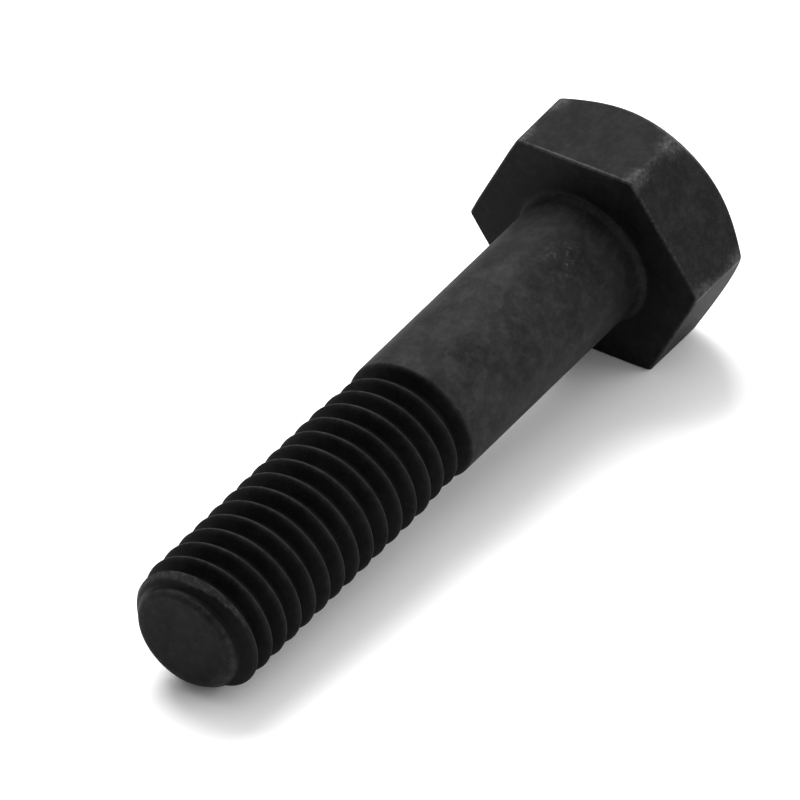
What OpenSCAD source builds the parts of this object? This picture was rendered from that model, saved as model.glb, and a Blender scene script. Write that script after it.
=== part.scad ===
// Hex bolt, metric coarse thread, partly threaded, plain black steel.
// One forged piece, drawn as three regions that meet face to face.
// Row frame: origin on the axis in the bearing face under the head,
// +X runs from the bearing face to the tip, two wrench flats lie at +Z and -Z.
// Millimetres.

/* [Head] */
// distance across the wrench flats
across_flats = 10; // [9:0.1:13]
// head height, bearing face to top face
head_h = 4; // [3:0.1:6]
// diameter of the flat circle left on top of the head
top_flat_d = 9.7; // [8:0.1:9.9]
// slope of the top chamfer, from the plane of the top face
top_chamfer_angle = 43; // [25:1:50]
// blunting of the six corners, taken off the corner radius
corner_blunt = 0.06; // [0.02:0.01:0.3]
// chamfer of the corners on the bearing side
bearing_chamfer = 0.08; // [0.05:0.01:0.3]

/* [Shank] */
// diameter of the plain shank
shank_d = 5.96; // [5.6:0.01:6]
// length under the head, bearing face to tip
bolt_l = 28; // [20:1:60]
// where the plain shank ends and the thread run-out begins
plain_l = 11.7; // [3:0.1:15]
// radius of the fillet under the head
fillet_r = 0.4; // [0.2:0.05:0.6]

/* [Thread] */
// thread pitch
pitch = 1; // [0.75:0.05:1.25]
// crest diameter of the thread
crest_d = 5.96; // [5.8:0.01:6]
// depth of the thread, crest to root
thread_depth = 0.61; // [0.45:0.01:0.7]
// length over which the thread fades out at the shank
runout_l = 0.9; // [0.6:0.1:2.5]
// diameter of the flat end face
tip_d = 4.4; // [3.5:0.1:5]
// turn of the thread about the axis, degrees
thread_turn = 255; // [0:5:355]

/* [Hidden] */

corner_r = across_flats / sqrt(3);
stub_l = 0.6;
tip_r = tip_d / 2;
crest_r = crest_d / 2;
shank_r = shank_d / 2;

// rows of the thread surface inside one pitch: position, share of the depth
crest_w = 0.125;
root_w = 0.167;
ROWS = [
  [-crest_w / 2, 0],
  [crest_w / 2, 0],
  [(crest_w / 2 + 0.5 - root_w / 2) / 2, 0.5],
  [0.5 - root_w / 2, 1],
  [0.5 + root_w / 2, 1],
  [1 - (crest_w / 2 + 0.5 - root_w / 2) / 2, 0.5],
];
cols = 40;
n_rows = len(ROWS);
row_gap = 0.04;

// colours
steel_head = [0.11, 0.11, 0.12];
steel_shank = [0.14, 0.14, 0.15];
steel_thread = [0.09, 0.09, 0.10];

function smooth(t) = let (u = min(max(t, 0), 1)) u * u * (3 - 2 * u);

// Thread surface: rows follow the helix, columns run along the bolt. Row i at
// column cols is row i + n_rows at column 0, which closes the surface.
function row_x(i, j) =
  plain_l + pitch * (floor(i / n_rows) - 1 + ROWS[i % n_rows][0] + j / cols);
function first_row(j) =
  [for (i = [0:3 * n_rows]) if (row_x(i, j) > plain_l + row_gap) i][0];
function last_row(j, i) = row_x(i + 1, j) < bolt_l - row_gap ? last_row(j, i + 1) : i;

LO = [for (j = [0:cols - 1]) first_row(j)];
HI = [for (j = [0:cols - 1]) last_row(j, LO[j])];
START = [for (j = 0, n = 0; j < cols; n = n + HI[j] - LO[j] + 1, j = j + 1) n];
n_grid = START[cols - 1] + HI[cols - 1] - LO[cols - 1] + 1;

function lo(j) = j < cols ? LO[j] : LO[0] - n_rows;
function hi(j) = j < cols ? HI[j] : HI[0] - n_rows;
function gi(i, j) = j < cols ? START[j] + i - LO[j] : START[0] + i + n_rows - LO[0];
function low_ring(j) = n_grid + j % cols;
function tip_ring(j) = n_grid + cols + j % cols;

// radius at position x for a share of the thread depth
function thread_r(x, share) =
  min(
    shank_r + (crest_r - shank_r) * smooth((x - plain_l) / runout_l)
      - thread_depth * share * smooth((x - plain_l) / runout_l),
    tip_r + bolt_l - x
  );

function polar(x, r, j) =
  let (a = 360 * j / cols + thread_turn) [x, r * cos(a), r * sin(a)];

module hex_head() {
  color(steel_head)
    rotate([0, 90, 0])
      union() {
        intersection() {
          rotate([0, 0, 30])
            translate([0, 0, -head_h])
              cylinder(r = corner_r, h = head_h, $fn = 6);
          head_turning();
        }
        fillet_turning();
      }
}

// turned outline that gives the head its chamfers and blunt corners
module head_turning() {
  slope = tan(top_chamfer_angle);
  edge_r = corner_r - corner_blunt;
  rotate_extrude($fn = 96)
    polygon([
      [0, -head_h],
      [top_flat_d / 2, -head_h],
      [edge_r, -head_h + slope * (edge_r - top_flat_d / 2)],
      [edge_r, -bearing_chamfer],
      [edge_r - 1.7 * bearing_chamfer, 0],
      [0, 0],
    ]);
}

// fillet under the head and the short stub that carries on as the shank
module fillet_turning() {
  rotate_extrude($fn = 96)
    polygon(concat(
      [[0, -0.5], [shank_r + fillet_r, -0.5]],
      [for (a = [0:15:90])
        [shank_r + fillet_r * (1 - sin(a)), fillet_r * (1 - cos(a))]],
      [[shank_r, stub_l], [0, stub_l]]
    ));
}

module plain_shank() {
  color(steel_shank)
    translate([stub_l, 0, 0])
      rotate([0, 90, 0])
        cylinder(r = shank_r, h = plain_l - stub_l, $fn = 96);
}

module threaded_shank() {
  points = concat(
    [for (j = [0:cols - 1], i = [LO[j]:HI[j]])
      let (x = row_x(i, j)) polar(x, thread_r(x, ROWS[i % n_rows][1]), j)],
    [for (j = [0:cols - 1]) polar(plain_l, shank_r, j)],
    [for (j = [0:cols - 1]) polar(bolt_l, tip_r, j)]
  );
  faces = concat(
    [for (j = [0:cols - 1])
      let (a = max(lo(j), lo(j + 1)), b = min(hi(j), hi(j + 1)))
      for (i = [a:b - 1], k = [0, 1])
        k == 0 ? [gi(i, j), gi(i + 1, j), gi(i + 1, j + 1)]
               : [gi(i, j), gi(i + 1, j + 1), gi(i, j + 1)]],
    [for (j = [0:cols - 1]) each low_fan(j)],
    [for (j = [0:cols - 1]) each tip_fan(j)],
    [[for (j = [0:cols - 1]) low_ring(j)]],
    [[for (j = [cols - 1:-1:0]) tip_ring(j)]]
  );
  color(steel_thread) polyhedron(points = points, faces = faces, convexity = 10);
}

// faces from the ring of the plain shank up to the first rows of two columns
function low_fan(j) =
  let (a = lo(j), b = lo(j + 1))
  concat(
    [[low_ring(j), gi(a, j), low_ring(j + 1)], [gi(a, j), gi(b, j + 1), low_ring(j + 1)]],
    b < a ? [for (i = [b:a - 1]) [gi(a, j), gi(i + 1, j + 1), gi(i, j + 1)]] : []
  );

// faces from the last rows of two columns to the ring of the end face
function tip_fan(j) =
  let (a = hi(j), b = hi(j + 1))
  concat(
    [[gi(a, j), tip_ring(j), tip_ring(j + 1)], [gi(b, j), tip_ring(j + 1), gi(b, j + 1)]],
    b < a ? [for (i = [b:a - 1]) [gi(i, j), gi(i + 1, j), tip_ring(j + 1)]] : []
  );

hex_head();
plain_shank();
threaded_shank();
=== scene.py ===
import math

import bpy
import numpy as np
from mathutils import Matrix, Vector


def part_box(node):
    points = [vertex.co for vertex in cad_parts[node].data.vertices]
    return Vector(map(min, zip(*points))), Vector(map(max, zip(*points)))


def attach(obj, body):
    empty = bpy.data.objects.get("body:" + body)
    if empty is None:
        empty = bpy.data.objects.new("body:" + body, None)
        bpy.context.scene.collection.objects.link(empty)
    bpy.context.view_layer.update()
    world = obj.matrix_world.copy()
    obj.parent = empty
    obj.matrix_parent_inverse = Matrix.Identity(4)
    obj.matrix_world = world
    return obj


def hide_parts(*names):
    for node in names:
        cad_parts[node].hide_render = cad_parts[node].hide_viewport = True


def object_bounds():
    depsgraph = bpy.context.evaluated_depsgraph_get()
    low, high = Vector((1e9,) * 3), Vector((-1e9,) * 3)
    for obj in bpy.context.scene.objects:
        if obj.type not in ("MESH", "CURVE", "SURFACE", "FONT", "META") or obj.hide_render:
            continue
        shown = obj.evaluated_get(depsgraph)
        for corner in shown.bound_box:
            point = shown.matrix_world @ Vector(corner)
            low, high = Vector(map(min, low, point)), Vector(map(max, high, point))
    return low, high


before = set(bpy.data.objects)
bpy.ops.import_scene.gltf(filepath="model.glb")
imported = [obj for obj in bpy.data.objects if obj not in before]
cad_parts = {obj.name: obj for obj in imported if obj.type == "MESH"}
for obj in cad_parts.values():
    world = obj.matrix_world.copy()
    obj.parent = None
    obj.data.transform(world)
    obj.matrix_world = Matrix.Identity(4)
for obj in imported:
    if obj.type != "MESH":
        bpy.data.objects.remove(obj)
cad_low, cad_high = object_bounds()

MM = 0.001

# ---------------------------------------------------------------- sizes, millimetres
# The bolt lies along X, with the bearing face at 0 and the tip towards +X. Angles go round
# the axis from +Y, so two flats are at 90 and 270 degrees and two corners at 0 and 180.
BOLT_L = cad_high[0] / MM  # bearing face to tip
HEAD_H = -cad_low[0] / MM  # bearing face to the top of the head
FLAT = cad_high[2] / MM  # axis to a wrench flat
SHANK_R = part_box("plain_shank")[1][2] / MM
SHANK_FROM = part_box("plain_shank")[0][0] / MM
SHANK_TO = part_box("plain_shank")[1][0] / MM
PITCH = 1.0
CREST_R = SHANK_R
THREAD_DEPTH = 0.61
CREST_HALF, FLANK = 0.0625, 0.354  # half the crest and one flank, in pitches
RUNOUT_FROM = SHANK_TO + 0.3  # where the root of the groove starts to sink
RUNOUT_L = 0.45  # length over which it reaches its full depth
FIRST_CREST_DROP = 0.11  # how low the crests next to the shank are
THREAD_TURN = math.radians(5)
TIP_R = 2.2
TIP_SLOPE = 0.85  # rise of the tip's chamfer for each mm from the end
END_ROUND = 0.3
END_GROOVE_X = BOLT_L - 0.4
END_GROOVE_DEPTH = 0.05
TOP_FLAT_R = 4.85
TOP_SLOPE = math.tan(math.radians(43))
EDGE_TRIMS = (0, 0.12, 0.1, 0.13, 0)  # reach of the rounding at each corner of the profile
CORNER_R = 0.2
CORNER_TRIM = 0.03  # taken off the six corners on the bearing side
FILLET_R = 0.4
SHARP_FROM = math.radians(50)  # edges that turn further than this stay sharp


# ---------------------------------------------------------------- mesh making
def make_piece(name, points, faces, node, material, wear_and_highlight, paint_shade):
    """Puts points (mm) and faces into a mesh, merges points in the same place and drops
    faces that have shrunk to a line. The last two arguments hold a value from 0 to 1 for
    each point, which the materials read: rubbed wear with painted highlights, and painted
    shade. Then hides the CAD node that the piece stands for."""
    key = np.round(points * 1e5).astype(np.int64)
    _, first, back = np.unique(key, axis=0, return_index=True, return_inverse=True)
    back = back.reshape(-1)
    points = points[first]
    faces = back[faces]
    rolled = np.roll(faces, -1, axis=1)
    keep = faces != rolled
    sides = keep.sum(axis=1)
    quads = faces[sides == 4]
    tri_mask = sides == 3
    tris = faces[tri_mask][keep[tri_mask]].reshape(-1, 3)
    mesh = bpy.data.meshes.new(name)
    mesh.from_pydata((points * MM).tolist(), [], quads.tolist() + tris.tolist())
    mesh.update()
    mesh.polygons.foreach_set("use_smooth", np.ones(len(mesh.polygons), dtype=bool))
    mesh.set_sharp_from_angle(angle=SHARP_FROM)
    for title, values in (("wear_and_painted_highlight", wear_and_highlight), ("painted_shade", paint_shade)):
        layer = mesh.attributes.new(title, "FLOAT", "POINT")
        layer.data.foreach_set("value", values[first].astype(np.float32))
    mesh.materials.append(material)
    piece = bpy.data.objects.new(name, mesh)
    bpy.context.collection.objects.link(piece)
    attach(piece, "root")
    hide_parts(node)


def ring_faces(rows, cols, start=0):
    """Quads of a grid of rows by cols points whose columns close on themselves."""
    i, j = np.meshgrid(np.arange(rows - 1), np.arange(cols), indexing="ij")
    k = (j + 1) % cols
    grid = np.stack([i * cols + j, i * cols + k, (i + 1) * cols + k, (i + 1) * cols + j], axis=-1)
    return grid.reshape(-1, 4) + start


def turned(profile, angles):
    """Points of a profile carried round the X axis: profile is (rows, cols, 2) holding
    x and radius, or (rows, 2) for a plain turning; angle 0 is +Y and 90 degrees is +Z."""
    if profile.ndim == 2:
        profile = np.repeat(profile[:, None, :], len(angles), axis=1)
    x, r = profile[..., 0], profile[..., 1]
    return np.stack([x, r * np.cos(angles), r * np.sin(angles)], axis=-1)


def eased(t):
    """Smooth step: 3 t^2 - 2 t^3 between 0 and 1, flat outside."""
    t = np.clip(t, 0.0, 1.0)
    return t * t * (3 - 2 * t)


def bell(x, middle, width):
    """A bell of height 1 at middle: e to the power of -((x - middle) / width)^2."""
    return np.exp(-(((x - middle) / width) ** 2))


def rounded_line(corners, trims, counts, round_count):
    """A profile through corners (n, cols, 2): straight runs of counts[i] points from
    corner i to i + 1, and at each inner corner a quadratic arc
    (1-s)^2 A + 2 s (1-s) V + s^2 B whose ends lie trims[i] mm from the corner. Returns
    the points, and for each row the number of the corner it rounds, 0 on a straight."""
    rows, marks = [], []
    n = len(corners)
    run = corners[1:] - corners[:-1]
    length = np.linalg.norm(run, axis=-1, keepdims=True)
    unit = run / np.maximum(length, 1e-9)
    for i in range(n - 1):
        a = corners[i] + unit[i] * trims[i] if i else corners[0]
        b = corners[i + 1] - unit[i] * trims[i + 1] if i < n - 2 else corners[-1]
        t = np.linspace(0, 1, counts[i])[:, None, None]
        rows.append(a * (1 - t) + b * t)
        marks.append(np.zeros(counts[i]))
        if i < n - 2:
            s = np.linspace(0, 1, round_count)[1:-1, None, None]
            c = corners[i + 1] + unit[i + 1] * trims[i + 1]
            rows.append((1 - s) ** 2 * b + 2 * s * (1 - s) * corners[i + 1] + s**2 * c)
            marks.append(np.ones(round_count - 2) * (i + 1))
    return np.concatenate(rows), np.concatenate(marks)


# ---------------------------------------------------------------- hexagon head
def from_corner(angle):
    """The angle from the nearest of the corners, which are at 0, 60, 120 ... degrees."""
    return (angle + math.pi / 6) % (math.pi / 3) - math.pi / 6


def hexagon_radius(angle):
    """Distance from the axis to the side of the hexagon at an angle: FLAT / cos of the
    angle from the nearest flat's middle, and near a corner the far side of a circle of
    CORNER_R that touches both flats."""
    phi = from_corner(angle)
    reach = (FLAT - CORNER_R) / math.cos(math.pi / 6)
    flat_r = FLAT / np.cos(math.pi / 6 - np.abs(phi))
    edge = math.pi / 6 - math.atan2(reach / 2, FLAT)
    inside = np.maximum(CORNER_R**2 - (reach * np.sin(phi)) ** 2, 0)
    return np.where(np.abs(phi) < edge, reach * np.cos(phi) + np.sqrt(inside), flat_r)


def head_angles():
    """Angles round the head, closer together at the six corners."""
    t = np.linspace(-1, 1, 49)[:-1]
    phi = np.sign(t) * (0.35 * np.abs(t) + 0.65 * np.abs(t) ** 2.6) * math.pi / 6
    return (np.arange(6)[:, None] * math.pi / 3 + phi[None, :]).reshape(-1)


def head_rub_and_highlight(profile, marks, ang, chamfer_end):
    """How far the coating is rubbed off the head, with painted highlights: on the roundings of
    its rims, wear with a painted highlight strongest near +Z, a painted light ring on the
    fillet, and rubbed wear in a band of uneven width and strength down the six corners. The
    numbers are set in mm along the bolt and radians round it."""
    x = profile[..., 0]
    width = 0.042 + 0.04 * eased((-1.9 - x) / 0.7) + 0.035 * eased((x + 1.3) / 0.5)
    strength = 0.42 + 0.4 * eased((-2.2 - x) / 0.6) + 0.3 * eased((x + 1.4) / 0.6)
    corner = strength * bell(from_corner(ang)[None, :], 0.0, width)
    rim = np.select([marks == 1, marks == 2, marks >= 3], [0.2, 0.5, 0.9], 0.0)
    # painted highlight: the rims are lightened most near +Z, the side that faces the light
    near_top = 0.45 + 0.55 * bell(ang, math.pi / 2, 0.6)
    side = (x > chamfer_end[None, :]) & (x < 0.0)
    # painted light ring on the fillet
    fillet = (x > 0.02) & (x < 0.3)
    return np.maximum(rim[:, None] * near_top[None, :], side * corner) + 0.15 * fillet


def head_shade_amount(profile):
    """How much painted shade a place on the head gets: the bearing face, most near the shank."""
    x, r = profile[..., 0], profile[..., 1]
    bearing = eased((x + 0.03) / 0.03) * (0.35 + 0.35 * eased((5.0 - r) / 1.6))
    return np.where(x > 0.03, 0.0, bearing)


def build_head(material):
    """The head as one profile carried round the axis: top flat, chamfer, side, bearing
    face, fillet and stub. The side's radius is the hexagon's, and the chamfer's lower
    end sinks by its slope times how far that radius passes the top flat, which gives
    the arched edge over each flat."""
    ang = head_angles()
    hexr = hexagon_radius(ang)
    one = np.ones_like(hexr)
    chamfer_end = -HEAD_H + TOP_SLOPE * (hexr - TOP_FLAT_R)
    at_corner = eased((hexr - 5.3) / 0.45)  # 0 along the flats and 1 at the corners
    corners = np.stack(
        [
            np.stack([-HEAD_H * one, 0.0 * one], -1),
            np.stack([-HEAD_H * one, TOP_FLAT_R * one], -1),
            np.stack([chamfer_end, hexr], -1),
            np.stack([0.0 * one, hexr - CORNER_TRIM * at_corner], -1),
            np.stack([0.0 * one, (SHANK_R + FILLET_R) * one], -1),
        ]
    )
    line, marks = rounded_line(corners, EDGE_TRIMS, counts=(14, 6, 30, 28), round_count=11)
    bend = np.linspace(0, math.pi / 2, 11)[1:]
    fillet = np.stack(
        [FILLET_R * (1 - np.cos(bend)), SHANK_R + FILLET_R * (1 - np.sin(bend))], -1
    )
    stub = np.array([[SHANK_FROM, SHANK_R], [SHANK_FROM, SHANK_R / 2], [SHANK_FROM, 0.0]])
    rest = np.repeat(np.concatenate([fillet, stub])[:, None, :], len(ang), axis=1)
    profile = np.concatenate([line, rest])
    marks = np.concatenate([marks, np.zeros(len(rest))])
    points = turned(profile, ang).reshape(-1, 3)
    faces = ring_faces(len(profile), len(ang))[:, ::-1]
    wear_and_highlight = head_rub_and_highlight(profile, marks, ang, chamfer_end).reshape(-1)
    paint_shade = head_shade_amount(profile).reshape(-1)
    make_piece("forged_head", points, faces, "hex_head", material, wear_and_highlight, paint_shade)


# ---------------------------------------------------------------- plain shank
def build_shank(material):
    """A straight turning of SHANK_R between the head's stub and the thread. It gets painted
    shade near the head, less of it out to 6 mm."""
    ang = np.linspace(0, 2 * math.pi, 193)[:-1]
    along = np.linspace(SHANK_FROM, SHANK_TO, 60)
    wall = np.stack([along, np.full_like(along, SHANK_R)], -1)
    profile = np.concatenate([[[SHANK_FROM, 0.0]], wall, [[SHANK_TO, 0.0]]])
    points = turned(profile, ang).reshape(-1, 3)
    faces = ring_faces(len(profile), len(ang))[:, ::-1]
    wear_and_highlight = np.zeros(len(points))
    paint_shade = 0.5 * (1 - eased(points[:, 0] / 6.0))
    make_piece(
        "plain_shank_skin", points, faces, "plain_shank", material, wear_and_highlight, paint_shade
    )


# ---------------------------------------------------------------- thread
def groove_share(s):
    """How deep the thread is, 0 on the crest and 1 in the root, s pitches from the
    crest's middle: a straight 60 degree flank with both ends rounded,
    (sqrt(t^2 + e^2) - sqrt((t - 1)^2 + e^2) + 1) / 2, scaled to run from 0 to 1."""
    e = 0.1

    def soft(t):
        return 0.5 * (np.sqrt(t * t + e * e) - np.sqrt((t - 1) ** 2 + e * e) + 1)

    low, high = soft(-CREST_HALF / FLANK), soft((0.5 - CREST_HALF) / FLANK)
    return (soft((np.abs(s) - CREST_HALF) / FLANK) - low) / (high - low)


def tip_limit(x):
    """Largest radius near the tip: a chamfer that rises TIP_SLOPE mm for each mm from the
    end, with the end face's edge rounded by a circle of END_ROUND tangent to both, and a
    shallow groove where the last turn of the thread runs out."""
    d = BOLT_L - x
    lean = math.atan(TIP_SLOPE)
    start = TIP_R - math.tan((math.pi / 2 - lean) / 2) * END_ROUND
    arc = start + np.sqrt(np.maximum(END_ROUND**2 - (END_ROUND - d) ** 2, 0))
    cone = TIP_R + TIP_SLOPE * d - END_GROOVE_DEPTH * bell(x, END_GROOVE_X, 0.1)
    return np.where(d < END_ROUND * (1 - math.sin(lean)), arc, cone)


def thread_rub_and_highlight(s, x, r, ang, cut):
    """How far the coating is rubbed off the thread, with painted highlights, more on the upper
    side: a line of wear and painted highlight along the crests past the first, a painted
    light ring round the end face and a painted highlight on the rim of the chamfer. The
    numbers are set in mm."""
    # painted highlight: stronger on the upper side, which faces the light
    above = 0.7 + 0.3 * np.cos(ang - math.radians(110))
    crest = 0.36 * above * bell(s, -0.02, 0.1) * eased((x - SHANK_TO - 1.2) / 1.5)
    # painted light ring round the end face and painted highlight on the chamfer's rim
    chamfer = 0.3 * bell(r, 2.36, 0.06) + 0.5 * above * eased((r - 2.62) / 0.1)
    return np.where(x >= BOLT_L - 1e-9, 0.0, np.where(cut, chamfer, crest))


def thread_shade_amount(x, r, share, cut):
    """How much painted shade a place on the thread gets: some over the whole thread from just
    past the shank, most in the grooves, and on the chamfer most in the groove where the last
    turn runs out, less on its rim."""
    lead = 0.6 * eased((x - SHANK_TO - 0.5) / 0.8)
    grooves = np.maximum(lead, 0.86 * eased(share / 0.3))
    chamfer = 0.3 + 0.55 * bell(x, END_GROOVE_X, 0.11) - 0.2 * eased((r - 2.62) / 0.1)
    return np.where(cut, chamfer, grooves)


def band_faces(columns, rows, per_turn):
    """Quads between the columns of the thread's band. The last point of a column joins
    the first point of the column one turn on, which closes the surface."""
    k = np.arange(columns - 1)[:, None]
    i = np.arange(rows)[None, :]
    here = k * rows + i
    beside = here + rows
    above = np.where(i < rows - 1, here + 1, (k + per_turn) * rows)
    across = np.where(i < rows - 1, beside + 1, (k + 1 + per_turn) * rows)
    quads = np.stack([here, beside, across, above], -1)
    return quads[across < columns * rows]


def build_thread(material):
    """A band one pitch wide wound round the axis: a point s pitches from the crest at
    angle a lies at x = start + PITCH * (a / 360 + s), and its radius is the crest's less
    the groove's share of the depth. The groove sinks in along the helix, where its root
    passes RUNOUT_FROM, the first crests are a little low, and the tip's chamfer cuts off
    what stands above it. Points past either end are pressed onto the end's plane."""
    cols, rows, end_rings = 192, 26, 14
    turns = int((BOLT_L - SHANK_TO) / PITCH) + 4
    start = math.floor(SHANK_TO - 0.5)
    s = (np.arange(rows) / rows - 0.5)[None, :]
    k = np.arange(cols * turns + 1)[:, None]
    ang = 2 * math.pi * k / cols + THREAD_TURN
    x = np.clip(start + PITCH * (k / cols + s), SHANK_TO, BOLT_L)
    root_x = start + PITCH * (k / cols + np.where(s < 0, -0.5, 0.5))
    share = groove_share(s) * eased((root_x - RUNOUT_FROM) / RUNOUT_L)
    past = x - SHANK_TO
    low = FIRST_CREST_DROP * eased((past - 0.5) / 0.7) * (1 - eased((past - 1.5) / 2.0))
    uncut_r = CREST_R - low - THREAD_DEPTH * share
    limit = tip_limit(x)
    cut = uncut_r > limit
    r = np.minimum(uncut_r, limit)
    points = np.stack([x, r * np.cos(ang), r * np.sin(ang)], -1).reshape(-1, 3)
    # the end face and the hidden face towards the shank
    ring = ang[:cols, 0]
    radii = np.linspace(float(tip_limit(BOLT_L)), 0, end_rings)
    tip = turned(np.stack([np.full_like(radii, BOLT_L), radii], -1), ring).reshape(-1, 3)
    inner = turned(np.array([[SHANK_TO, SHANK_R], [SHANK_TO, 0.0]]), ring).reshape(-1, 3)
    faces = np.concatenate(
        [
            band_faces(len(k), rows, cols)[:, ::-1],
            ring_faces(end_rings, cols, len(points))[:, ::-1],
            ring_faces(2, cols, len(points) + len(tip)),
        ]
    )
    more = np.zeros(len(tip) + len(inner))
    wear_and_highlight = np.concatenate([thread_rub_and_highlight(s, x, r, ang, cut).reshape(-1), more])
    # the end face and the hidden face towards the shank get a fixed painted shade
    paint_shade = np.concatenate([thread_shade_amount(x, r, share, cut).reshape(-1), more + 0.62])
    points = np.concatenate([points, tip, inner])
    make_piece(
        "rolled_thread", points, faces, "threaded_shank", material, wear_and_highlight, paint_shade
    )


# ---------------------------------------------------------------- shader maths
class Wire:
    """A value or colour between shader nodes. + - and * add Math nodes."""

    def __init__(self, bench, socket):
        self.bench, self.socket = bench, socket

    def _do(self, operation, *others):
        return self.bench.add(
            "ShaderNodeMath", {"operation": operation}, dict(enumerate(others))
        )

    def __add__(self, other):
        return self._do("ADD", self, other)

    def __sub__(self, other):
        return self._do("SUBTRACT", self, other)

    def __rsub__(self, other):
        return self._do("SUBTRACT", other, self)

    def __mul__(self, other):
        return self._do("MULTIPLY", self, other)

    __radd__ = __add__
    __rmul__ = __mul__

    def ramp(self, low, high):
        """0 below low, 1 above high, smooth between."""
        return self.bench.add(
            "ShaderNodeMapRange",
            {"interpolation_type": "SMOOTHSTEP"},
            {"Value": self, "From Min": low, "From Max": high},
        )


class Bench:
    """The node tree of a material or world; add() makes any node and returns its output."""

    def __init__(self, owner):
        owner.use_nodes = True
        self.nodes, self.links = owner.node_tree.nodes, owner.node_tree.links
        self.nodes.clear()

    def add(self, kind, settings=None, sockets=None, out=0):
        node = self.nodes.new(kind)
        for key, value in (settings or {}).items():
            setattr(node, key, value)
        for key, value in (sockets or {}).items():
            if isinstance(value, Wire):
                self.links.new(value.socket, node.inputs[key])
            else:
                node.inputs[key].default_value = value
        return Wire(self, node.outputs[out]) if node.outputs else None

    def noise(self, place, scale, detail, rough, twist=0.0):
        return self.add(
            "ShaderNodeTexNoise",
            {},
            {"Vector": place, "Scale": scale, "Detail": detail, "Roughness": rough,
             "Distortion": twist},
        )

    def mix(self, factor, a, b):
        return self.add(
            "ShaderNodeMix", {"data_type": "RGBA"}, {0: factor, 6: a, 7: b}, out=2
        )


SCUFF_AT = (2.9, 1.45, 2.6)  # the rubbed place on the shank, mm
# the near-black colour that painted shade turns the coating towards, and how far it goes where
# the painted shade is full
SHADE_PAINT_COLOUR = (0.0007, 0.0007, 0.0007)
SHADE_PAINT_STRENGTH = 0.9
COAT_SHINE = 0.06


def black_steel(name, dark, light, worn_and_highlight_colour, grain=1.0):
    """Black oxide on steel: a cloudy coating between dark and light with fine mottling,
    small pale specks and a scuff under the head. Painted shade darkens it towards near-black
    where the mesh asks for it, and the worn colour shows where it was rubbed and as painted
    highlights on rims, crests and the tip's chamfer. Colours are linear, and a larger
    grain makes the clouds smaller."""
    material = bpy.data.materials.new(name)
    b = Bench(material)
    place = b.add("ShaderNodeTexCoord", out="Object")
    mm = b.add("ShaderNodeVectorMath", {"operation": "SCALE"}, {0: place, "Scale": 1000.0})
    cloud = b.noise(mm, 0.6 * grain, 3.0, 0.55)
    patch = b.noise(mm, 1.9 * grain, 3.0, 0.6, 0.3)
    mottle = b.noise(mm, 4.2 * grain, 3.0, 0.65)
    sand = b.noise(mm, 10.0, 2.0, 0.6)
    wear_and_highlight = b.add("ShaderNodeAttribute", {"attribute_name": "wear_and_painted_highlight"}, out="Fac")
    paint_shade = b.add("ShaderNodeAttribute", {"attribute_name": "painted_shade"}, out="Fac")
    tone = (
        0.3 * cloud.ramp(0.35, 0.65) + 0.4 * patch.ramp(0.4, 0.72)
        + 0.2 * mottle.ramp(0.38, 0.68) + 0.1 * sand.ramp(0.38, 0.62)
    )
    coat = b.mix(tone, (*dark, 1.0), (*light, 1.0))
    spot = b.add(
        "ShaderNodeVectorMath", {"operation": "DISTANCE"}, {0: mm, 1: SCUFF_AT}, out="Value"
    )
    scuff = (1 - spot.ramp(0.2, 1.5)) * patch.ramp(0.48, 0.56) * mottle.ramp(0.5, 0.58)
    speck = sand.ramp(0.64, 0.74) * patch.ramp(0.42, 0.6) * 0.35
    unevenness = 0.45 + 0.3 * patch.ramp(0.35, 0.6) + 0.55 * mottle.ramp(0.4, 0.65)
    # the worn colour on rubbed places, specks and the scuff, and as painted highlights
    bare_and_highlight = (wear_and_highlight * unevenness + 0.7 * scuff + speck).ramp(-0.02, 1.0)
    colour = b.mix(bare_and_highlight, coat, (*worn_and_highlight_colour, 1.0))
    # painted shade: the colour darkens towards near-black as far as the shade attribute says
    colour = b.mix(SHADE_PAINT_STRENGTH * paint_shade, colour, (*SHADE_PAINT_COLOUR, 1.0))
    rough = 0.52 + 0.1 * mottle + 0.08 * sand - 0.08 * bare_and_highlight
    bump = b.add(
        "ShaderNodeBump", {},
        {"Strength": 0.6, "Distance": 0.00002, "Height": sand * 0.6 + mottle},
    )
    shader = b.add(
        "ShaderNodeBsdfPrincipled", {},
        {"Base Color": colour, "Roughness": rough, "Metallic": 0.4 * bare_and_highlight, "Normal": bump,
         "Specular IOR Level": COAT_SHINE, "IOR": 1.5},
    )
    b.add("ShaderNodeOutputMaterial", {}, {"Surface": shader})
    return material


def plain_surface(name, colour, rough):
    """One flat colour, for the table."""
    material = bpy.data.materials.new(name)
    b = Bench(material)
    shader = b.add(
        "ShaderNodeBsdfPrincipled", {},
        {"Base Color": (*colour, 1.0), "Roughness": rough, "Specular IOR Level": 0.1},
    )
    b.add("ShaderNodeOutputMaterial", {}, {"Surface": shader})
    return material


# ---------------------------------------------------------------- the bolt
# dark and light coating tones, then the worn colour, which also serves for the painted highlights
HEAD_COLOURS = (0.0036, 0.0036, 0.0037), (0.0155, 0.0155, 0.0157), (0.045, 0.045, 0.0445)
SHANK_COLOURS = (0.006, 0.006, 0.0061), (0.027, 0.027, 0.0273), (0.05, 0.05, 0.049)

build_head(black_steel("black_oxide_head", *HEAD_COLOURS, grain=1.6))
build_shank(black_steel("black_oxide_shank", *SHANK_COLOURS))
build_thread(black_steel("black_oxide_thread", *SHANK_COLOURS))

# ---------------------------------------------------------------- table
# The bolt lies on the bearing-side edge of its lower flat and on the last crest, so the
# table tilts in the bolt's frame: it passes through both.
LAST_CREST_X = BOLT_L - 0.75
TABLE_HALF = 1.2  # metres

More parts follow.
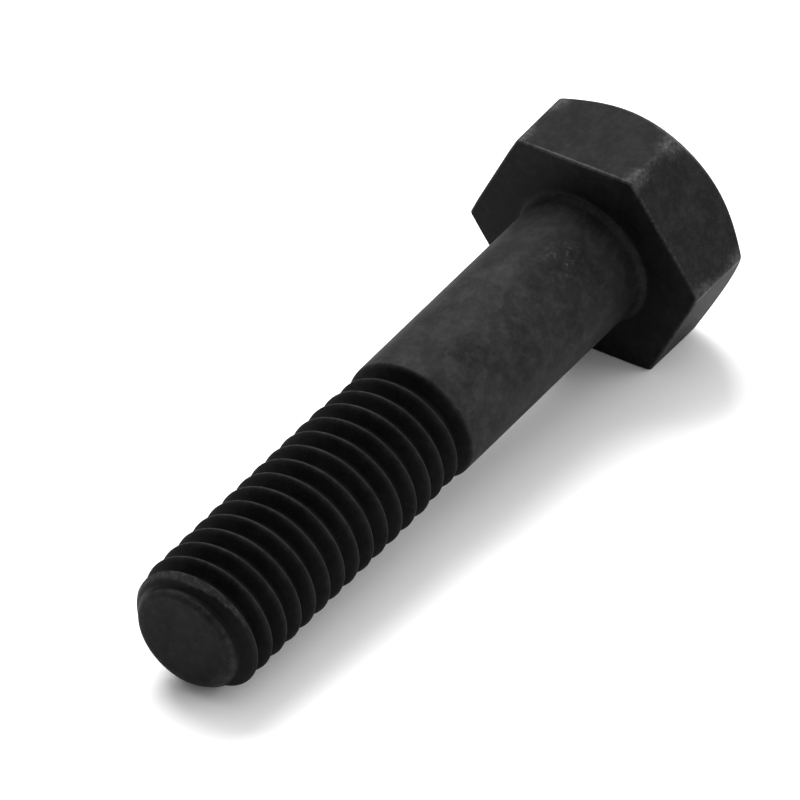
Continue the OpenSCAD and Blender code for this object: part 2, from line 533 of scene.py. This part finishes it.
rise = TABLE_HALF * (FLAT - CREST_R) / LAST_CREST_X
base = -FLAT * MM
table_mesh = bpy.data.meshes.new("table_top")
table_mesh.from_pydata(
    [(-TABLE_HALF, -TABLE_HALF, base - rise), (TABLE_HALF, -TABLE_HALF, base + rise),
     (TABLE_HALF, TABLE_HALF, base + rise), (-TABLE_HALF, TABLE_HALF, base - rise)],
    [], [(0, 1, 2, 3)],
)
table_mesh.materials.append(plain_surface("pale_table", (0.9, 0.9, 0.9), 0.7))
table_top = bpy.data.objects.new("table_top", table_mesh)
bpy.context.collection.objects.link(table_top)

# ---------------------------------------------------------------- light
# The room is white to the eye. As a light it is brighter above and behind the head.
SKY_FROM = (-0.5, 0.3, 0.81)
SKY_DIM, SKY_BRIGHT = 0.15, 1.5

world = bpy.data.worlds.new("pale_room")
room = Bench(world)
facing = room.add("ShaderNodeTexCoord", out="Generated")
toward = room.add(
    "ShaderNodeVectorMath", {"operation": "DOT_PRODUCT"}, {0: facing, 1: SKY_FROM}, out="Value"
)
glow = SKY_DIM + (SKY_BRIGHT - SKY_DIM) * toward.ramp(-0.3, 1.0)
eye_ray = room.add("ShaderNodeLightPath", out="Is Camera Ray")
seen = room.add("ShaderNodeMix", {}, {0: eye_ray, 2: glow, 3: 1.0})
sky = room.add("ShaderNodeBackground", {}, {"Strength": seen})
room.add("ShaderNodeOutputWorld", {}, {"Surface": sky})
bpy.context.scene.world = world
bpy.context.scene.view_settings.view_transform = "Standard"


def softbox(name, place, aim, size, watts):
    """A square area light at place (m) that faces aim."""
    light = bpy.data.lights.new(name, "AREA")
    light.size = size
    light.energy = watts
    lamp = bpy.data.objects.new(name, light)
    lamp.location = place
    lamp.rotation_mode = "QUATERNION"
    lamp.rotation_quaternion = (Vector(aim) - Vector(place)).to_track_quat("-Z", "Y")
    bpy.context.collection.objects.link(lamp)


softbox("top_softbox", (-0.2, -0.24, 0.42), (0.01, 0, 0), 0.35, 3.8)
softbox("side_softbox", (-0.3, 0.5, 0.16), (0.0, 0, 0), 0.4, 1.4)

# ---------------------------------------------------------------- camera
camera = bpy.data.cameras.new("view_camera")
camera.sensor_width = 36.0
camera.lens = 900.0
camera.clip_start, camera.clip_end = 0.05, 10.0
eye = bpy.data.objects.new("view_camera", camera)
place = Vector((0.494993, 0.400418, 0.517735))
right = Vector((-0.580218, 0.809893, -0.086143))
up = Vector((-0.557319, -0.317676, 0.767123))
away = Vector((0.593922, 0.493108, 0.63569))
eye.matrix_world = Matrix(
    (
        (right.x, up.x, away.x, place.x),
        (right.y, up.y, away.y, place.y),
        (right.z, up.z, away.z, place.z),
        (0, 0, 0, 1),
    )
)
bpy.context.collection.objects.link(eye)
bpy.context.scene.camera = eye
